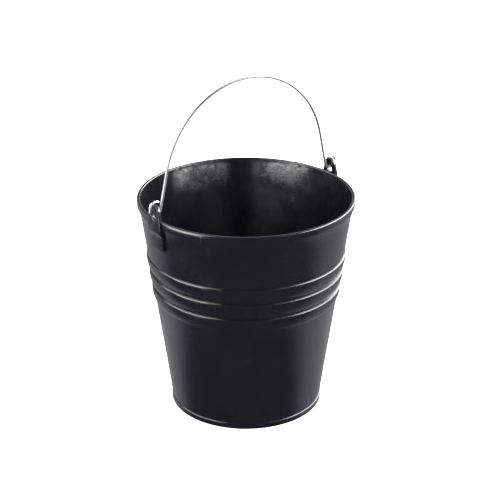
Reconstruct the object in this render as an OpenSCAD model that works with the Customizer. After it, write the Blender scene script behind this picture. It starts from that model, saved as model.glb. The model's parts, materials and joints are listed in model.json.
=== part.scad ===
// Tapered twelve litre bucket with a swinging wire bail.
// Origin: centre of the foot's underside. +Z up, the two ears on +X and -X.

/* [Bucket] */
// Outside diameter of the rim lip
rim_d = 280; // [240:1:340]
// Height from the ground to the top of the rim
bucket_h = 287; // [260:1:345]
// Outside diameter of the tapered wall, carried down to the ground
base_d = 196; // [170:1:236]
// Thickness of the wall
wall = 2.8; // [2:0.1:4]
// Thickness of the floor
floor_t = 3; // [2:0.1:4]

/* [Rim lip] */
// How far the lip stands out past the wall's taper
lip_proud = 1.4; // [0.8:0.1:4]
// Height of the lip's upright outer face, to the top of the rim
lip_h = 8; // [6:0.5:14]
// Height of the hollow flare under the lip
flare_h = 18; // [8:1:24]

/* [Raised bands] */
// Number of raised bands round the wall
band_n = 3; // [1:1:4]
// Height of the top band's ledge above the ground
band_top_z = 212; // [150:1:220]
// Distance from one band's ledge to the next
band_pitch = 22; // [20:0.5:30]
// Height of one band
band_h = 18.5; // [10:0.5:19.5]
// Width of the ledge on top of a band
band_ledge = 1.5; // [0.6:0.1:3]
// Extra swell of a band's face below its ledge
band_swell = 1.6; // [0:0.1:3]

/* [Foot] */
// How far the foot ring stands out past the base diameter, on each side
foot_proud = 2; // [1:0.1:5]
// How far the foot ring reaches in past the inside of the wall
foot_inset = 1.2; // [0.4:0.1:6]
// Height of the foot ring
foot_h = 7.5; // [5:0.5:14]
// Chamfer on the foot ring's bottom edges
foot_chamfer = 0.8; // [0:0.1:1.5]

/* [Ears] */
// Width of an ear at the rim and below
ear_w = 26; // [20:0.5:34]
// How much narrower the ear's round top is, on each side
ear_narrow = 3; // [0:0.1:5]
// Thickness of an ear's tab above the rim
ear_t = 4.5; // [3.5:0.1:6]
// How far an ear's outer face stands out past the lip
ear_proud = 1.8; // [1:0.1:4]
// Diameter of the hole for the bail
hole_d = 9.6; // [7:0.1:12]
// Height of the hole's lowest point above the rim
hole_lift = 0.7; // [0.5:0.1:4]
// Height of an ear above its hole
ear_over = 10; // [6:0.1:13]
// Depth below the rim at which an ear's outer face ends
ear_drop = 15.5; // [10:0.5:24]
// Height of the slope between the outer face and the lower pad
slope_h = 7; // [3:0.5:12]
// How far the lower pad is set back from the outer face
pad_setback = 3.8; // [1:0.1:5]
// Height of the lower pad
pad_h = 17; // [8:0.5:24]

/* [Bail] */
// Diameter of the wire
wire_d = 3.3; // [2.5:0.1:4.5]
// Length of the straight stretch of a leg, from its bend up to the arch
leg_len = 48.2; // [20:0.1:90]
// Outward lean of the bail's legs, in degrees
leg_lean = 12.5; // [6:0.5:16]
// Radius of the bend where a leg turns into its ear
bend_r = 5; // [4:0.5:9]
// Radius of the corner where the wire turns up outside the ear
hook_corner_r = 4; // [3:0.5:7]
// Radius of the hook over the ear's top
hook_r = 7.8; // [6.5:0.1:9]
// How far round the hook goes, in degrees
hook_turn = 128; // [90:1:140]
// Clearance between the wire and the top of its hole
wire_gap = 0.25; // [0.1:0.05:0.6]
// Clearance between an ear's inner face and the wire's bend
bend_gap = 1.6; // [0.5:0.1:4]
// Clearance between an ear's outer face and the wire's corner
corner_gap = 0.4; // [0.1:0.1:3]
// Clearance between an ear's edge and the hook as the bail swings
swing_gap = 0.5; // [0.3:0.1:1.5]

/* [Hidden] */

plastic_black = [0.05, 0.05, 0.058];
steel_grey = [0.74, 0.75, 0.77];
round_fn = 160;
wire_fn = 20;
bend_fn = 72;
arc_steps = 8;

rim_r = rim_d / 2;
base_r = base_d / 2;
foot_r = base_r + foot_proud;
foot_in = base_r - wall - foot_inset;
lip_t = lip_proud + wall;
lip_round = lip_t / 2;
lip_bottom_z = bucket_h - lip_h;
flare_z = lip_bottom_z - flare_h;
round_z = bucket_h - lip_round;

hole_z = bucket_h + hole_lift + hole_d / 2;
ear_out = rim_r + ear_proud;
ear_in = ear_out - ear_t;
ear_top_z = hole_z + hole_d / 2 + ear_over;
ear_top_r = ear_w / 2 - ear_narrow;
ear_round_z = ear_top_z - ear_top_r;
ear_rise = ear_round_z - bucket_h;
ear_lean = acos(ear_top_r / norm([ear_w / 2, ear_rise])) - atan2(ear_rise, ear_w / 2);
pad_out = ear_out - pad_setback;
slope_top_z = bucket_h - ear_drop;
pad_top_z = slope_top_z - slope_h;
pad_bottom_z = pad_top_z - pad_h;

wire_r = wire_d / 2;
bend_swell = 0.04;
axis_z = hole_z + hole_d / 2 - wire_r - wire_gap;
bend_u = ear_in - bend_gap;
leg_foot_u = bend_u - bend_r * cos(leg_lean);
leg_foot_z = axis_z + bend_r * (1 - sin(leg_lean));
leg_top_u = leg_foot_u - leg_len * sin(leg_lean);
leg_top_z = leg_foot_z + leg_len * cos(leg_lean);
arch_r = leg_top_u / cos(leg_lean);
arch_z = leg_top_z - arch_r * sin(leg_lean);
corner_u = ear_out + corner_gap;
corner_z = axis_z + hook_corner_r;
riser_u = corner_u + hook_corner_r;
hook_u = riser_u - hook_r;
hook_side = max(ear_out - hook_u, hook_u - ear_in);
hook_room = hook_r - wire_r - swing_gap;
ear_half_w = ear_w / 2 - (axis_z - bucket_h) * tan(ear_lean);
ear_reach = max(ear_half_w, ear_top_z - axis_z);
hook_z = axis_z + ear_reach - sqrt(hook_room * hook_room - hook_side * hook_side);

// Outside radius of the plain tapered wall at height z
function taper(z) = base_r + (rim_r - lip_proud - base_r) * z / bucket_h;

// Stand-out of a band's face, from its ledge (s = 0) to its lower end (s = 1)
function band_stand(s) = band_ledge * (1 - s) + band_swell * 4 * s * (1 - s);

// Outline of one band, from its lower end up to its ledge
function band_points(top_z) = concat(
    [for (i = [arc_steps : -1 : 0])
        let (s = i / arc_steps, z = top_z - s * band_h)
        [taper(z) + band_stand(s), z]],
    [[taper(top_z), top_z]]
);

// Outside of the wall, from the foot ring up to the flare
function wall_points() = concat(
    [[taper(foot_h), foot_h]],
    [for (i = [band_n - 1 : -1 : 0]) each band_points(band_top_z - i * band_pitch)],
    [[taper(flare_z), flare_z]]
);

// Outside of the flare and lip, up and over the rounded rim to its inner edge
function lip_points() = concat(
    [for (i = [0 : arc_steps])
        let (s = i / arc_steps, z = flare_z + s * flare_h)
        [taper(z) + (rim_r - taper(lip_bottom_z)) * s * s, z]],
    [for (i = [0 : arc_steps])
        let (a = 180 * i / arc_steps)
        [rim_r - lip_round + lip_round * cos(a), round_z + lip_round * sin(a)]]
);

// Everything within the bucket's outside surface, for fitting the ears to it
module bucket_envelope() {
    rotate_extrude($fn = round_fn)
        polygon(concat([[0, foot_h]], wall_points(), lip_points(), [[0, round_z]]));
}

module bucket_wall() {
    color(plastic_black)
        rotate_extrude($fn = round_fn)
            polygon(concat(
                wall_points(),
                [[taper(flare_z) - wall, flare_z], [taper(foot_h) - wall, foot_h]]
            ));
}

module rim_lip() {
    color(plastic_black)
        rotate_extrude($fn = round_fn)
            polygon(concat(lip_points(), [[taper(flare_z) - wall, flare_z]]));
}

module bucket_floor() {
    color(plastic_black)
        translate([0, 0, foot_h - floor_t])
            cylinder(r = foot_in, h = floor_t, $fn = round_fn);
}

module foot_ring() {
    c = foot_chamfer;
    color(plastic_black)
        rotate_extrude($fn = round_fn)
            polygon([
                [foot_in + c, 0],
                [foot_r - c, 0],
                [foot_r, c],
                [foot_r, foot_h],
                [foot_in, foot_h],
                [foot_in, c]
            ]);
}

// Side view of an ear: tab, outer face, slope and lower pad
module ear_side() {
    inside_u = taper(pad_bottom_z) - ear_w / 2;
    polygon([
        [inside_u, pad_bottom_z],
        [pad_out, pad_bottom_z],
        [pad_out, pad_top_z],
        [ear_out, slope_top_z],
        [ear_out, ear_top_z],
        [ear_in, ear_top_z],
        [ear_in, round_z],
        [inside_u, round_z]
    ]);
}

// Front view of an ear: straight up to the rim, then leaning in to a round top
module ear_front() {
    touch_y = ear_top_r * cos(ear_lean);
    touch_z = ear_round_z + ear_top_r * sin(ear_lean);
    translate([0, ear_round_z])
        circle(r = ear_top_r, $fn = round_fn);
    polygon([
        [-ear_w / 2, pad_bottom_z],
        [ear_w / 2, pad_bottom_z],
        [ear_w / 2, bucket_h],
        [touch_y, touch_z],
        [-touch_y, touch_z],
        [-ear_w / 2, bucket_h]
    ]);
}

module ear() {
    reach = 2 * rim_r;
    difference() {
        intersection() {
            rotate([90, 0, 0])
                linear_extrude(2 * ear_w, center = true)
                    ear_side();
            rotate([90, 0, 90])
                linear_extrude(reach)
                    ear_front();
        }
        bucket_envelope();
        translate([ear_in - ear_t, 0, hole_z])
            rotate([0, 90, 0])
                cylinder(d = hole_d, h = 3 * ear_t, $fn = round_fn);
    }
}

module ear_right() {
    color(plastic_black)
        ear();
}

module ear_left() {
    color(plastic_black)
        mirror([1, 0, 0])
            ear();
}

// Straight stretch of wire from (u, z) at a heading measured from +X towards +Z
module wire_run(u, z, heading, len) {
    translate([u, 0, z])
        rotate([0, 90 - heading, 0])
            cylinder(d = wire_d, h = len, $fn = wire_fn);
}

// Bent stretch of wire about (u, z), from angle a0 round to a1
module wire_bend(u, z, r, a0, a1) {
    translate([u, 0, z])
        rotate([90, 0, 0])
            rotate([0, 0, a0])
                rotate_extrude(angle = a1 - a0, $fn = bend_fn)
                    translate([r, 0])
                        circle(d = wire_d, $fn = wire_fn);
}

// Slight swelling of the wire where a bend runs into a straight
module bend_mark(u, z) {
    translate([u, 0, z])
        sphere(r = wire_r + bend_swell, $fn = wire_fn);
}

// One leg, its bend through the ear's hole, and the hook round the ear's top
module bail_end() {
    wire_run(leg_foot_u, leg_foot_z, 90 + leg_lean, leg_len);
    wire_bend(bend_u, axis_z + bend_r, bend_r, 180 + leg_lean, 270);
    wire_run(bend_u, axis_z, 0, corner_u - bend_u);
    wire_bend(corner_u, corner_z, hook_corner_r, -90, 0);
    wire_run(riser_u, corner_z, 90, hook_z - corner_z);
    wire_bend(hook_u, hook_z, hook_r, 0, hook_turn);
    bend_mark(leg_top_u, leg_top_z);
    bend_mark(leg_foot_u, leg_foot_z);
    bend_mark(bend_u, axis_z);
    bend_mark(corner_u, axis_z);
    bend_mark(riser_u, corner_z);
    bend_mark(riser_u, hook_z);
}

module bail_wire() {
    color(steel_grey) {
        wire_bend(0, arch_z, arch_r, leg_lean, 180 - leg_lean);
        bail_end();
        mirror([1, 0, 0])
            bail_end();
    }
}

bucket_wall();
rim_lip();
bucket_floor();
foot_ring();
ear_right();
ear_left();
bail_wire();
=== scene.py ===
"""Florist bucket: one black plastic moulding with two ears, and a swinging galvanised wire bail."""

import json
import math

import bpy
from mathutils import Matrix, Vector


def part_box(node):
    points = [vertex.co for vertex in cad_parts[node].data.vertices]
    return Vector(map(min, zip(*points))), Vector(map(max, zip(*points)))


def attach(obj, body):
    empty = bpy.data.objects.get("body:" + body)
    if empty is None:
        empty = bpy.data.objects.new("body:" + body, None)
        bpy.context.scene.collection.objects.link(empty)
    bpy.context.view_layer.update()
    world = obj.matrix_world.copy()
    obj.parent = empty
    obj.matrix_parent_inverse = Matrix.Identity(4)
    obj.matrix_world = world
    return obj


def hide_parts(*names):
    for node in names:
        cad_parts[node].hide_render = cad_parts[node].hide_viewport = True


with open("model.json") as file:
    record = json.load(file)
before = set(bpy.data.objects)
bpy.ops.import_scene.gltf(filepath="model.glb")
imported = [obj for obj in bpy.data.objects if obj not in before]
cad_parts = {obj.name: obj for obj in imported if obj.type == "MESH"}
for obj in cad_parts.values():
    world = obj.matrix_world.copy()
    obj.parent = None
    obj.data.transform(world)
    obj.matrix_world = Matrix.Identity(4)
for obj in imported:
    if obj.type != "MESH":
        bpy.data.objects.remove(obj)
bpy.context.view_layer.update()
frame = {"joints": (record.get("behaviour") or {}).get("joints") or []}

# ---------------------------------------------------------------- sizes, in metres

MM = 0.001

rim_low, rim_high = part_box("rim_lip")
floor_low, floor_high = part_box("bucket_floor")
foot_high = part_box("foot_ring")[1]
ear_low, ear_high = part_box("ear_right")
wire_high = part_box("bail_wire")[1]
AXIS_Z = frame["joints"][0]["pos_m"][2]

# The moulding: radii from the bucket's axis, and heights above the ground
RIM_R = rim_high.x
RIM_Z = rim_high.z
FLARE_Z = rim_low.z
FOOT_R = foot_high.x
FOOT_Z = foot_high.z
FLOOR_R = floor_high.x
FLOOR_TOP_Z = floor_high.z
FLOOR_UNDER_Z = floor_low.z
BASE_R = 98 * MM
WALL = 2.8 * MM
INSIDE_BEND_R = 60 * MM
LIP_PROUD = 1.4 * MM
LIP_H = 8 * MM
LIP_BOTTOM_Z = RIM_Z - LIP_H
LIP_IN_R = RIM_R - LIP_PROUD - WALL
LIP_EDGE = 1.0 * MM
BAND_N = 3
BAND_TOP_Z = 212 * MM
BAND_PITCH = 22 * MM
BAND_H = 18.5 * MM
BAND_LEDGE = 1.5 * MM
BAND_SWELL = 1.6 * MM
LEDGE_EDGE = 0.85 * MM
LEDGE_ROOT = 0.25 * MM
FOOT_EDGE = 0.7 * MM
FLOOR_FILLET = 4 * MM
AROUND = 288
CURVE_STEPS = 12
ROUND_STEPS = 6
SAME_POINT = 0.01 * MM
CRISP_ANGLE = math.radians(35)

# The ears
EAR_W = ear_high.y - ear_low.y
EAR_OUT = ear_high.x
EAR_T = 4.5 * MM
EAR_ROOT = 4 * EAR_T
EAR_IN = EAR_OUT - EAR_T
EAR_TOP_Z = ear_high.z
EAR_NARROW = 3 * MM
EAR_TOP_R = EAR_W / 2 - EAR_NARROW
PAD_H = 17 * MM
PAD_STEP = 3.8 * MM
SLOPE_H = 7 * MM
PAD_BOTTOM_Z = ear_low.z
PAD_TOP_Z = PAD_BOTTOM_Z + PAD_H
SLOPE_TOP_Z = PAD_TOP_Z + SLOPE_H
PAD_OUT = EAR_OUT - PAD_STEP
HOLE_R = 4.8 * MM
HOLE_OVER_RIM = 0.7 * MM
HOLE_Z = RIM_Z + HOLE_OVER_RIM + HOLE_R
EAR_EDGE = 0.8 * MM
EAR_EDGE_STEPS = 4
EAR_EDGE_ANGLE = math.radians(20)
EAR_CRISP_ANGLE = math.radians(40)
EAR_TOP_STEPS = 36
HOLE_STEPS = 40

# The bail: U is the distance from the bucket's axis, along the hinge
WIRE_R = 1.65 * MM
LEG_LEAN = math.radians(12.5)
BEND_R = 5 * MM
BEND_GAP = 1.6 * MM
BEND_U = EAR_IN - BEND_GAP
CORNER_R = 4 * MM
RISER_U = wire_high.x - WIRE_R
CORNER_U = RISER_U - CORNER_R
HOOK_R = 7.8 * MM
HOOK_U = RISER_U - HOOK_R
SWING_GAP = 0.5 * MM
HOOK_ROOM = HOOK_R - WIRE_R - SWING_GAP
HOOK_Z = EAR_TOP_Z - math.sqrt(HOOK_ROOM ** 2 - (EAR_OUT - HOOK_U) ** 2)
HOOK_TURN = math.radians(128)
ARCH_TOP_Z = wire_high.z - WIRE_R
WIRE_SIDES = 28
WIRE_END = 0.7 * MM
WIRE_END_STEPS = 5
ARCH_STEPS = 60
LEG_STEPS = 12
BEND_STEPS = 14
HINGE_STEPS = 4
HOOK_STEPS = 30


# ---------------------------------------------------------------- outlines

def taper(z):
    """Outside radius of the plain tapered wall at height z."""
    return BASE_R + (RIM_R - LIP_PROUD - BASE_R) * z / RIM_Z


def arc(centre, radius, start, end, steps):
    """Points along an arc, its angles measured from the first axis towards the second."""
    turn = [start + (end - start) * i / steps for i in range(steps + 1)]
    return [Vector((centre[0] + radius * math.cos(a), centre[1] + radius * math.sin(a))) for a in turn]


def rounded(corners):
    """An outline's points, where a corner (x, y, radius) becomes an arc that touches both sides."""
    points = []
    for i, corner in enumerate(corners):
        here = Vector(corner[:2])
        radius = corner[2] if len(corner) > 2 else 0
        if not radius:
            points.append(here)
            continue
        back = (Vector(corners[i - 1][:2]) - here).normalized()
        ahead = (Vector(corners[(i + 1) % len(corners)][:2]) - here).normalized()
        half = back.angle(ahead) / 2
        middle = here + (back + ahead).normalized() * radius / math.sin(half)
        start = here + back * radius / math.tan(half) - middle
        end = here + ahead * radius / math.tan(half) - middle
        for k in range(ROUND_STEPS + 1):
            points.append(middle + start.slerp(end, k / ROUND_STEPS).normalized() * radius)
    return [p for k, p in enumerate(points) if not k or (p - points[k - 1]).length > SAME_POINT]


def band_corners(top_z):
    """One band, from its lower end up its swelling face to the ledge on top."""
    corners = []
    for i in range(CURVE_STEPS, -1, -1):
        s = i / CURVE_STEPS
        z = top_z - s * BAND_H
        stand = BAND_LEDGE * (1 - s) + BAND_SWELL * 4 * s * (1 - s)
        corners.append((taper(z) + stand, z))
    corners[-1] += (LEDGE_EDGE,)
    corners.append((taper(top_z), top_z, LEDGE_ROOT))
    return corners


def flare_corners():
    """The hollow flare from the plain wall out to the lip."""
    reach = RIM_R - taper(LIP_BOTTOM_Z)
    corners = []
    for i in range(CURVE_STEPS + 1):
        s = i / CURVE_STEPS
        z = FLARE_Z + s * (LIP_BOTTOM_Z - FLARE_Z)
        corners.append((taper(z) + reach * s * s, z))
    return corners


def moulding_outline():
    """Half of the bucket's section: from the axis on the floor, over the rim, to the axis beneath."""
    corners = [
        (0, FLOOR_TOP_Z),
        (taper(FLOOR_TOP_Z) - WALL, FLOOR_TOP_Z, FLOOR_FILLET),
        (taper(FLARE_Z) - WALL, FLARE_Z, INSIDE_BEND_R),
        (LIP_IN_R, RIM_Z, LIP_EDGE),
        (RIM_R, RIM_Z, LIP_EDGE),
    ]
    corners += reversed(flare_corners())
    for i in range(BAND_N):
        corners += reversed(band_corners(BAND_TOP_Z - i * BAND_PITCH))
    corners += [
        (taper(FOOT_Z), FOOT_Z, LEDGE_ROOT),
        (FOOT_R, FOOT_Z, FOOT_EDGE),
        (FOOT_R, 0, FOOT_EDGE),
        (FLOOR_R, 0, FOOT_EDGE),
        (FLOOR_R, FLOOR_UNDER_Z, FOOT_EDGE),
        (0, FLOOR_UNDER_Z),
    ]
    return rounded(corners)


# ---------------------------------------------------------------- meshes

def new_piece(name, vertices, faces):
    """An object with this mesh, placed in the scene."""
    mesh = bpy.data.meshes.new(name)
    mesh.from_pydata(vertices, [], faces)
    mesh.validate()
    mesh.update()
    piece = bpy.data.objects.new(name, mesh)
    bpy.context.scene.collection.objects.link(piece)
    return piece


def smooth(piece, angle=CRISP_ANGLE):
    """Smooth shading, with edges sharper than the angle left crisp."""
    piece.data.polygons.foreach_set("use_smooth", [True] * len(piece.data.polygons))
    piece.data.set_sharp_from_angle(angle=angle)
    return piece


def revolved(name, outline, around):
    """A solid of revolution whose outline starts and ends on the axis."""
    vertices = [(0, 0, outline[0].y)]
    for p in outline[1:-1]:
        for k in range(around):
            a = 2 * math.pi * k / around
            vertices.append((p.x * math.cos(a), p.x * math.sin(a), p.y))
    vertices.append((0, 0, outline[-1].y))
    last = len(vertices) - 1
    rings = len(outline) - 2
    faces = []
    for k in range(around):
        after = (k + 1) % around
        faces.append((0, 1 + k, 1 + after))
        for i in range(rings - 1):
            low = 1 + i * around
            faces.append((low + k, low + around + k, low + around + after, low + after))
        low = 1 + (rings - 1) * around
        faces.append((low + k, last, low + after))
    return smooth(new_piece(name, vertices, faces))


def swept(name, path, radius, sides, end_round):
    """A round wire along a path in the XZ plane, with its cut ends rounded off."""
    count = len(path)
    headings = []
    for i in range(count):
        ahead = path[min(i + 1, count - 1)] - path[max(i - 1, 0)]
        headings.append(ahead.normalized())
    rings = [(p, h, radius) for p, h in zip(path, headings)]
    tail, head = rings[0], rings[-1]
    for k in range(1, WIRE_END_STEPS + 1):
        a = math.pi / 2 * k / WIRE_END_STEPS
        reach = end_round * math.sin(a)
        thin = radius - end_round * (1 - math.cos(a))
        rings.insert(0, (tail[0] - tail[1] * reach, tail[1], thin))
        rings.append((head[0] + head[1] * reach, head[1], thin))
    vertices = []
    for centre, heading, r in rings:
        for k in range(sides):
            a = 2 * math.pi * k / sides
            out = r * math.cos(a)
            vertices.append((centre.x - heading.y * out, r * math.sin(a), centre.y + heading.x * out))
    faces = []
    for i in range(len(rings) - 1):
        for k in range(sides):
            after = (k + 1) % sides
            low, high = i * sides, (i + 1) * sides
            faces.append((low + k, low + after, high + after, high + k))
    faces.append(tuple(range(sides - 1, -1, -1)))
    faces.append(tuple(range(len(vertices) - sides, len(vertices))))
    return smooth(new_piece(name, vertices, faces))


def prism(name, outline, place):
    """A closed prism: place(point, end) gives where an outline point lies on each end face, 0 or 1."""
    count = len(outline)
    vertices = [place(p, end) for end in (0, 1) for p in outline]
    faces = [(k, (k + 1) % count, count + (k + 1) % count, count + k) for k in range(count)]
    faces += [tuple(range(count - 1, -1, -1)), tuple(range(count, 2 * count))]
    piece = new_piece(name, vertices, faces)
    middle = sum((v.co for v in piece.data.vertices), Vector()) / len(vertices)
    outward = sum(f.normal.dot(f.center - middle) for f in piece.data.polygons)
    if outward < 0:
        piece.data.flip_normals()
    return piece


def combine(piece, tool, operation):
    """Cuts the piece with the tool, or keeps what they share, and deletes the tool."""
    change = piece.modifiers.new(operation, "BOOLEAN")
    change.operation = operation
    change.solver = "EXACT"
    change.object = tool
    settle(piece)
    bpy.data.objects.remove(tool)


def settle(piece):
    """Applies the piece's modifiers to its mesh."""
    graph = bpy.context.evaluated_depsgraph_get()
    mesh = bpy.data.meshes.new_from_object(piece.evaluated_get(graph))
    piece.modifiers.clear()
    piece.data = mesh


# ---------------------------------------------------------------- pieces

def make_moulding():
    """The shell: floor, tapered wall with its bands, flare, lip and foot, all one skin."""
    return revolved("bucket_moulding", moulding_outline(), AROUND)


def ear_front():
    """An ear's front view: straight up to the rim, then leaning in to a round top."""
    half = EAR_W / 2
    middle_z = EAR_TOP_Z - EAR_TOP_R
    rise = middle_z - RIM_Z
    lean = math.acos(EAR_TOP_R / math.hypot(half, rise)) - math.atan2(rise, half)
    low_z = PAD_BOTTOM_Z - EAR_T
    sides = [Vector((-half, RIM_Z)), Vector((-half, low_z)), Vector((half, low_z)), Vector((half, RIM_Z))]
    return arc((0, middle_z), EAR_TOP_R, lean, math.pi - lean, EAR_TOP_STEPS) + sides


def make_ear(name, side):
    """One ear: the holed tab over the rim, its outer face, the slope and the pad beneath."""
    root = WALL / 2
    section = [
        Vector((taper(PAD_BOTTOM_Z) - root, PAD_BOTTOM_Z)),
        Vector((PAD_OUT, PAD_BOTTOM_Z)),
        Vector((PAD_OUT, PAD_TOP_Z)),
        Vector((EAR_OUT, SLOPE_TOP_Z)),
        Vector((EAR_OUT, EAR_TOP_Z)),
        Vector((EAR_IN, EAR_TOP_Z)),
        Vector((EAR_IN, RIM_Z - LIP_EDGE)),
        Vector((LIP_IN_R + root, RIM_Z - LIP_H)),
    ]
    ear = prism(name, section, lambda p, end: (side * p.x, (2 * end - 1) * EAR_W, p.y))
    reach = (EAR_IN - EAR_ROOT, EAR_OUT + EAR_T)
    plate = prism("plate", ear_front(), lambda p, end: (side * reach[end], p.x, p.y))
    combine(ear, plate, "INTERSECT")
    ring = arc((0, HOLE_Z), HOLE_R, 0, 2 * math.pi, HOLE_STEPS)[:-1]
    drill = prism("drill", ring, lambda p, end: (side * reach[end], p.x, p.y))
    combine(ear, drill, "DIFFERENCE")
    edges = ear.modifiers.new("edges", "BEVEL")
    edges.width = EAR_EDGE
    edges.segments = EAR_EDGE_STEPS
    edges.limit_method = "ANGLE"
    edges.angle_limit = EAR_EDGE_ANGLE
    edges.miter_outer = "MITER_ARC"
    settle(ear)
    return smooth(ear, EAR_CRISP_ANGLE)


def bail_path():
    """The wire's centre line, from the left hook's end, over the arch, to the right hook's end."""
    lean = math.tan(LEG_LEAN)
    lift = 1 - math.sin(LEG_LEAN)
    foot_u = BEND_U - BEND_R * math.cos(LEG_LEAN)
    foot_z = AXIS_Z + BEND_R * lift
    arch_r = (foot_u - (ARCH_TOP_Z - foot_z) * lean) / (math.cos(LEG_LEAN) - lift * lean)
    half = arc((0, ARCH_TOP_Z - arch_r), arch_r, math.pi / 2, LEG_LEAN, ARCH_STEPS)
    top = half[-1]
    foot = Vector((foot_u, foot_z))
    half += [top.lerp(foot, k / LEG_STEPS) for k in range(1, LEG_STEPS)]
    half += arc((BEND_U, AXIS_Z + BEND_R), BEND_R, math.pi + LEG_LEAN, 1.5 * math.pi, BEND_STEPS)
    hinge = CORNER_U - BEND_U
    half += [Vector((BEND_U + hinge * k / HINGE_STEPS, AXIS_Z)) for k in range(1, HINGE_STEPS)]
    half += arc((CORNER_U, AXIS_Z + CORNER_R), CORNER_R, -math.pi / 2, 0, BEND_STEPS)
    half += arc((HOOK_U, HOOK_Z), HOOK_R, 0, HOOK_TURN - WIRE_END / HOOK_R, HOOK_STEPS)
    return [Vector((-p.x, p.y)) for p in reversed(half[1:])] + half


def make_bail():
    """The bail: one length of wire, swept along its path."""
    return swept("bail_rod", bail_path(), WIRE_R, WIRE_SIDES, WIRE_END)


# ---------------------------------------------------------------- materials

# The plastic's tones are very dark, because the lights are strong
PLASTIC_TONES = ((0.0022, 0.0020, 0.0038), (0.0048, 0.0044, 0.0074))
SCUFF_TONE = (0.026, 0.025, 0.030)
SPECK_TONE = (0.070, 0.068, 0.075)
# The light grey colour of the painted reflection inside under the rim
PAINTED_SHEEN_TONE = (0.160, 0.160, 0.162)
SCUFF_AMOUNT = 0.25
SPECK_AMOUNT = 0.15
PLASTIC_ROUGHNESS = (0.14, 0.23)
SCUFF_ROUGHER = 0.10
SHEEN_PLACE_ROUGHER = 0.12
PLASTIC_SPECULAR = 1.0
WAVE_DEPTH = 0.35 * MM
DENT_DEPTH = 2.6 * MM
GRAIN_DEPTH = 0.02 * MM

# The parts of a noise's range, 0 to 1, over which a marking goes from none to full
SCUFF_SPAN = (0.56, 0.78)
SPECK_SPAN = (0.66, 0.74)
SHEEN_BROAD_SPAN = (0.36, 0.60)
SHEEN_FINE_SPAN = (0.30, 0.52)
MOST_OF_NOISE = (0.3, 0.7)

# The places inside the wall that get a painted reflection, a light grey colour, and dents: their turns
# from the +X axis, half their width, and how far below the rim they start and are full. Their painted
# colour, but not their dents, ends short of the rim
SHEEN_TURNS = (math.radians(82), math.radians(30))
SHEEN_HALF = math.radians(21)
SHEEN_START = 44 * MM
SHEEN_FULL = 8 * MM
SHEEN_COLOUR_FULL = 7 * MM
SHEEN_COLOUR_END = 3 * MM

# A place's distance from the axis times how squarely its surface faces away from the axis, in
# metres: from the first value down it counts as the inside of the wall, from the second up not
INNER_FULL = -0.04
INNER_END = -0.01

# The wire is painted bright near the ears as a painted highlight, dull on its legs, and darkest on top of
# the arch as painted shade
STEEL_HIGHLIGHT_TONES = ((0.82, 0.82, 0.86), (0.97, 0.97, 0.99))
STEEL_DULL = ((0.31, 0.31, 0.33), (0.48, 0.48, 0.50))
STEEL_SHADE_TONES = ((0.13, 0.13, 0.14), (0.22, 0.22, 0.23))
BRIGHT_FULL_Z = AXIS_Z + 30 * MM
BRIGHT_END_Z = AXIS_Z + 80 * MM
DARK_START_Z = ARCH_TOP_Z - 32 * MM
DARK_FULL_Z = ARCH_TOP_Z - 8 * MM
STEEL_ROUGHNESS = (0.30, 0.46)
ZINC_DEPTH = 0.03 * MM

FLOOR_TONES = ((0.78, 0.78, 0.80), (0.82, 0.82, 0.84))
FLOOR_ROUGHNESS = 0.9
FLOOR_SPECULAR = 0.1
FLOOR_GLOW = 0.85

# A Mix node has a set of sockets for each kind of value; these are the ones for colours
MIX_FIRST = 6
MIX_SECOND = 7
MIX_RESULT = 2


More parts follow.
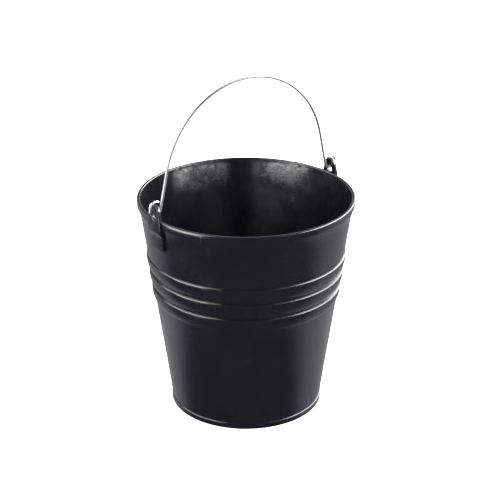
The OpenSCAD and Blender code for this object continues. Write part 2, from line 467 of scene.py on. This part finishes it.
class Nodes:
    """A material's node tree, built by short calls."""

    def __init__(self, name):
        self.material = bpy.data.materials.new(name)
        self.material.use_nodes = True
        self.tree = self.material.node_tree
        self.shader = self.tree.nodes["Principled BSDF"]
        where = self.tree.nodes.new("ShaderNodeTexCoord")
        self.place = where.outputs["Object"]
        self.normal = where.outputs["Normal"]

    def link(self, output, socket):
        """Joins an output to a socket."""
        self.tree.links.new(output, socket)

    def noise(self, scale, detail=3.0, roughness=0.5, stretch=(1, 1, 1), distortion=0.0):
        """A cloudy pattern from 0 to 1, with this many clouds to the metre."""
        mapping = self.tree.nodes.new("ShaderNodeMapping")
        mapping.inputs["Scale"].default_value = stretch
        self.link(self.place, mapping.inputs["Vector"])
        noise = self.tree.nodes.new("ShaderNodeTexNoise")
        noise.inputs["Scale"].default_value = scale
        noise.inputs["Detail"].default_value = detail
        noise.inputs["Roughness"].default_value = roughness
        noise.inputs["Distortion"].default_value = distortion
        self.link(mapping.outputs["Vector"], noise.inputs["Vector"])
        return noise.outputs["Fac"]

    def height(self):
        """The height above the ground, with the part at rest."""
        split = self.tree.nodes.new("ShaderNodeSeparateXYZ")
        self.link(self.place, split.inputs["Vector"])
        return split.outputs["Z"]

    def span(self, value, low, high, to_low=0.0, to_high=1.0):
        """The value's range from low to high, mapped smoothly onto another range."""
        node = self.tree.nodes.new("ShaderNodeMapRange")
        node.interpolation_type = "SMOOTHSTEP"
        node.inputs["From Min"].default_value = low
        node.inputs["From Max"].default_value = high
        node.inputs["To Min"].default_value = to_low
        node.inputs["To Max"].default_value = to_high
        self.link(value, node.inputs["Value"])
        return node.outputs["Result"]

    def math(self, operation, a, b):
        """A calculation on two numbers, each an output or a plain value."""
        node = self.tree.nodes.new("ShaderNodeMath")
        node.operation = operation
        for socket, value in zip(node.inputs, (a, b)):
            if isinstance(value, (int, float)):
                socket.default_value = value
            else:
                self.link(value, socket)
        return node.outputs["Value"]

    def vector(self, operation, a, b=None):
        """A calculation on two vectors, or on one."""
        node = self.tree.nodes.new("ShaderNodeVectorMath")
        node.operation = operation
        for socket, value in zip(node.inputs, (a, b)):
            if isinstance(value, tuple):
                socket.default_value = value
            elif value is not None:
                self.link(value, socket)
        return node.outputs["Value" if operation == "DOT_PRODUCT" else "Vector"]

    def blend(self, amount, first, second):
        """A colour between two, by the amount."""
        node = self.tree.nodes.new("ShaderNodeMix")
        node.data_type = "RGBA"
        self.link(amount, node.inputs["Factor"])
        for socket, colour in ((node.inputs[MIX_FIRST], first), (node.inputs[MIX_SECOND], second)):
            if isinstance(colour, tuple):
                socket.default_value = (*colour, 1)
            else:
                self.link(colour, socket)
        return node.outputs[MIX_RESULT]

    def bump(self, height, depth, strength=1.0, under=None):
        """A bump whose full height is depth, in metres, laid over another if one is given."""
        node = self.tree.nodes.new("ShaderNodeBump")
        node.inputs["Strength"].default_value = strength
        node.inputs["Distance"].default_value = depth
        self.link(height, node.inputs["Height"])
        if under is not None:
            self.link(under, node.inputs["Normal"])
        return node.outputs["Normal"]


def sheen_places_inside(n):
    """1 on the two places inside the wall just under the rim that get a painted reflection and dents,
    fading to 0 around them.
    """
    flat = n.vector("MULTIPLY", n.place, (1, 1, 0))
    outward = n.vector("DOT_PRODUCT", flat, n.normal)
    inward = n.span(outward, INNER_FULL, INNER_END, 1.0, 0.0)
    high = n.span(n.height(), RIM_Z - SHEEN_START, RIM_Z - SHEEN_FULL)
    aside = None
    for turn in SHEEN_TURNS:
        heading = (math.cos(turn), math.sin(turn), 0)
        toward = n.vector("DOT_PRODUCT", n.vector("NORMALIZE", flat), heading)
        near = n.span(toward, math.cos(SHEEN_HALF), 1)
        aside = near if aside is None else n.math("MAXIMUM", aside, near)
    return n.math("MULTIPLY", n.math("MULTIPLY", inward, high), aside)


def black_plastic():
    """Injection-moulded black polypropylene: satin, slightly wavy, scuffed, with a painted reflection and
    dents inside under the rim.
    """
    n = Nodes("black_plastic")
    cloud = n.noise(scale=9, detail=4, roughness=0.55)
    marks = n.noise(scale=60, detail=5, roughness=0.7, stretch=(1, 1, 0.35), distortion=1.2)
    scuff = n.span(marks, *SCUFF_SPAN)
    speck = n.span(n.noise(scale=900, detail=2), *SPECK_SPAN)
    sheen_places = sheen_places_inside(n)
    # Painted reflection: light grey colour in the two places inside, ending short of the rim and broken
    # up by noise
    sheen_end = n.span(n.height(), RIM_Z - SHEEN_COLOUR_FULL, RIM_Z - SHEEN_COLOUR_END, 1.0, 0.0)
    sheen = n.math("MULTIPLY", sheen_places, sheen_end)
    broad = n.span(n.noise(scale=22, detail=4, roughness=0.6), *SHEEN_BROAD_SPAN)
    sheen = n.math("MULTIPLY", sheen, broad)
    fine = n.span(n.noise(scale=230, detail=4, roughness=0.7), *SHEEN_FINE_SPAN)
    sheen = n.math("MULTIPLY", sheen, fine)
    colour = n.blend(cloud, *PLASTIC_TONES)
    colour = n.blend(n.math("MULTIPLY", scuff, SCUFF_AMOUNT), colour, SCUFF_TONE)
    colour = n.blend(n.math("MULTIPLY", speck, SPECK_AMOUNT), colour, SPECK_TONE)
    colour = n.blend(sheen, colour, PAINTED_SHEEN_TONE)
    n.link(colour, n.shader.inputs["Base Color"])
    gloss = n.span(n.noise(scale=26, detail=5, roughness=0.6), *MOST_OF_NOISE, *PLASTIC_ROUGHNESS)
    rough = n.math("ADD", gloss, n.math("MULTIPLY", scuff, SCUFF_ROUGHER))
    rough = n.math("ADD", rough, n.math("MULTIPLY", sheen_places, SHEEN_PLACE_ROUGHER))
    n.link(rough, n.shader.inputs["Roughness"])
    n.shader.inputs["Specular IOR Level"].default_value = PLASTIC_SPECULAR
    wave = n.bump(n.noise(scale=34, detail=2), WAVE_DEPTH, strength=0.5)
    lumps = n.math("MULTIPLY", sheen_places, n.noise(scale=75, detail=4, roughness=0.6))
    dents = n.bump(lumps, DENT_DEPTH, strength=0.7, under=wave)
    grain = n.bump(n.noise(scale=1500, detail=2), GRAIN_DEPTH, strength=0.2, under=dents)
    n.link(grain, n.shader.inputs["Normal"])
    return n.material


def galvanised_steel():
    """Zinc-coated wire: mottled, with a painted highlight near the ears and painted shade on top of the
    arch.
    """
    n = Nodes("galvanised_steel")
    mottle = n.noise(scale=420, detail=4, roughness=0.6)
    # Painted highlight: the wire's colour is lighter low down, near the ears
    sheen_places = n.span(n.height(), BRIGHT_FULL_Z, BRIGHT_END_Z, 1.0, 0.0)
    dull = n.blend(mottle, *STEEL_DULL)
    bright = n.blend(mottle, *STEEL_HIGHLIGHT_TONES)
    dark = n.blend(mottle, *STEEL_SHADE_TONES)
    # Painted shade: the wire's colour darkens on top of the arch
    arch_shade = n.span(n.height(), DARK_START_Z, DARK_FULL_Z)
    colour = n.blend(sheen_places, n.blend(arch_shade, dull, dark), bright)
    n.link(colour, n.shader.inputs["Base Color"])
    n.shader.inputs["Metallic"].default_value = 1.0
    n.link(n.span(mottle, *MOST_OF_NOISE, *STEEL_ROUGHNESS), n.shader.inputs["Roughness"])
    grain = n.bump(n.noise(scale=1600, detail=3, roughness=0.6), ZINC_DEPTH, strength=0.6)
    n.link(grain, n.shader.inputs["Normal"])
    return n.material


# ---------------------------------------------------------------- studio

# The camera fitted to the photograph: how far round from the front towards -X it stands, its
# distance from the axis, its height, how far it looks down and to the right, and its lens and
# sensor in millimetres
CAMERA_TURN = math.radians(36.5)
CAMERA_REACH = 1.835
CAMERA_HEIGHT = 1.017
CAMERA_DIP = math.radians(23.74)
CAMERA_YAW = math.radians(0.157)
CAMERA_LENS = 110.9
CAMERA_SENSOR = 36

FLOOR_HALF = 15
LOW_LIGHT_AIM_Z = RIM_Z + 60 * MM

# Where the backdrop shows instead of the dim room, by the cosine of the angle from the backdrop's
# middle, which lies this far round from +Y towards +X
BACKDROP_TURN = math.radians(46)
WORLD_TURN = ((-0.05, (0, 0, 0)), (0.35, (1, 1, 1)))

# The room's colour by the sine of the elevation, on the camera's side and on the backdrop
WORLD_FRONT = (
    (-0.50, (0.055, 0.050, 0.080)),
    (-0.05, (0.105, 0.100, 0.140)),
    (0.10, (0.070, 0.070, 0.085)),
    (0.60, (0.050, 0.050, 0.055)),
)
WORLD_BACK = (
    (-0.40, (0.45, 0.44, 0.48)),
    (-0.03, (1.00, 1.00, 1.00)),
    (0.22, (0.90, 0.90, 0.92)),
    (0.40, (0.15, 0.15, 0.16)),
)


def make_camera():
    """The photograph's view: from the front, turned towards -X, and looking down a little."""
    data = bpy.data.cameras.new("camera")
    data.lens = CAMERA_LENS
    data.sensor_width = CAMERA_SENSOR
    camera = bpy.data.objects.new("camera", data)
    bpy.context.scene.collection.objects.link(camera)
    aim = CAMERA_TURN + CAMERA_YAW
    camera.location = (
        -CAMERA_REACH * math.sin(CAMERA_TURN),
        -CAMERA_REACH * math.cos(CAMERA_TURN),
        CAMERA_HEIGHT,
    )
    look = Vector((
        math.sin(aim) * math.cos(CAMERA_DIP),
        math.cos(aim) * math.cos(CAMERA_DIP),
        -math.sin(CAMERA_DIP),
    ))
    camera.rotation_euler = look.to_track_quat("-Z", "Y").to_euler()
    bpy.context.scene.camera = camera


def make_floor():
    """A wide pale floor that stays nearly white under the soft light."""
    half = FLOOR_HALF
    corners = [(-half, -half, 0), (half, -half, 0), (half, half, 0), (-half, half, 0)]
    floor = new_piece("floor", corners, [(0, 1, 2, 3)])
    n = Nodes("pale_floor")
    tone = n.blend(n.noise(scale=3, detail=2), *FLOOR_TONES)
    n.link(tone, n.shader.inputs["Base Color"])
    n.shader.inputs["Roughness"].default_value = FLOOR_ROUGHNESS
    n.shader.inputs["Specular IOR Level"].default_value = FLOOR_SPECULAR
    n.shader.inputs["Emission Color"].default_value = (1, 1, 1, 1)
    n.shader.inputs["Emission Strength"].default_value = FLOOR_GLOW
    floor.data.materials.append(n.material)
    floor.visible_glossy = False


def ramp_of(tree, value, stops):
    """A colour ramp over a value from -1 to 1, given as (value, colour) stops."""
    shift = tree.nodes.new("ShaderNodeMath")
    shift.operation = "MULTIPLY_ADD"
    shift.inputs[1].default_value = 0.5
    shift.inputs[2].default_value = 0.5
    ramp = tree.nodes.new("ShaderNodeValToRGB")
    tree.links.new(value, shift.inputs[0])
    tree.links.new(shift.outputs["Value"], ramp.inputs["Fac"])
    marks = ramp.color_ramp.elements
    while len(marks) < len(stops):
        marks.new(0.5)
    for mark, (at, colour) in zip(marks, stops):
        mark.position = (at + 1) / 2
        mark.color = (*colour, 1)
    return ramp.outputs["Color"]


def make_world():
    """A studio: a bright backdrop behind the bucket, and a dim room round the camera."""
    world = bpy.data.worlds.new("studio")
    world.use_nodes = True
    tree = world.node_tree
    where = tree.nodes.new("ShaderNodeTexCoord").outputs["Generated"]
    split = tree.nodes.new("ShaderNodeSeparateXYZ")
    tree.links.new(where, split.inputs["Vector"])
    behind = tree.nodes.new("ShaderNodeVectorMath")
    behind.operation = "DOT_PRODUCT"
    behind.inputs[1].default_value = (math.sin(BACKDROP_TURN), math.cos(BACKDROP_TURN), 0)
    tree.links.new(where, behind.inputs[0])
    mix = tree.nodes.new("ShaderNodeMix")
    mix.data_type = "RGBA"
    tree.links.new(ramp_of(tree, behind.outputs["Value"], WORLD_TURN), mix.inputs["Factor"])
    tree.links.new(ramp_of(tree, split.outputs["Z"], WORLD_FRONT), mix.inputs[MIX_FIRST])
    tree.links.new(ramp_of(tree, split.outputs["Z"], WORLD_BACK), mix.inputs[MIX_SECOND])
    tree.links.new(mix.outputs[MIX_RESULT], tree.nodes["Background"].inputs["Color"])
    bpy.context.scene.world = world


def soft_light(name, turn, lift, distance, width, height, radiance, aim_z=RIM_Z / 2):
    """A soft box that faces the bucket's axis from a distance, at the height aim_z.

    Its turn is measured from the camera, to the right, and its lift from level, in degrees.
    """
    data = bpy.data.lights.new(name, "AREA")
    data.shape = "RECTANGLE"
    data.size = width
    data.size_y = height
    data.energy = radiance * math.pi * width * height
    light = bpy.data.objects.new(name, data)
    bpy.context.scene.collection.objects.link(light)
    side = math.radians(turn) - CAMERA_TURN
    rise = math.radians(lift)
    away = Vector((
        math.sin(side) * math.cos(rise),
        -math.cos(side) * math.cos(rise),
        math.sin(rise),
    ))
    light.location = Vector((0, 0, aim_z)) + away * distance
    light.rotation_euler = (-away).to_track_quat("-Z", "Y").to_euler()
    light.visible_camera = False


def make_lights():
    """Large soft boxes on the right and the left, a weak one in front, and a low strip."""
    soft_light("soft_right", turn=112, lift=32, distance=1.8, width=3.4, height=1.4, radiance=13)
    soft_light("soft_front_right", turn=50, lift=30, distance=2.2, width=1.1, height=1.2, radiance=2)
    soft_light("soft_left", turn=-74, lift=30, distance=2.0, width=2.8, height=1.4, radiance=7)
    soft_light("low_left", turn=-62, lift=-19, distance=0.9, width=0.6, height=0.14, radiance=7,
               aim_z=LOW_LIGHT_AIM_Z)


# ---------------------------------------------------------------- the scene

make_camera()
make_world()
make_floor()
make_lights()

plastic = black_plastic()
steel = galvanised_steel()

moulding = make_moulding()
moulding.data.materials.append(plastic)
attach(moulding, "bucket")
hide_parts("bucket_wall", "rim_lip", "bucket_floor", "foot_ring")

EARS = (("ear_right", "ear_moulding_right", 1), ("ear_left", "ear_moulding_left", -1))

for node, piece_name, side in EARS:
    ear = make_ear(piece_name, side)
    ear.data.materials.append(plastic)
    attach(ear, "bucket")
    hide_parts(node)

bail = make_bail()
bail.data.materials.append(steel)
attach(bail, "bail")
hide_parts("bail_wire")

view = bpy.context.scene.view_settings
view.view_transform = "Standard"
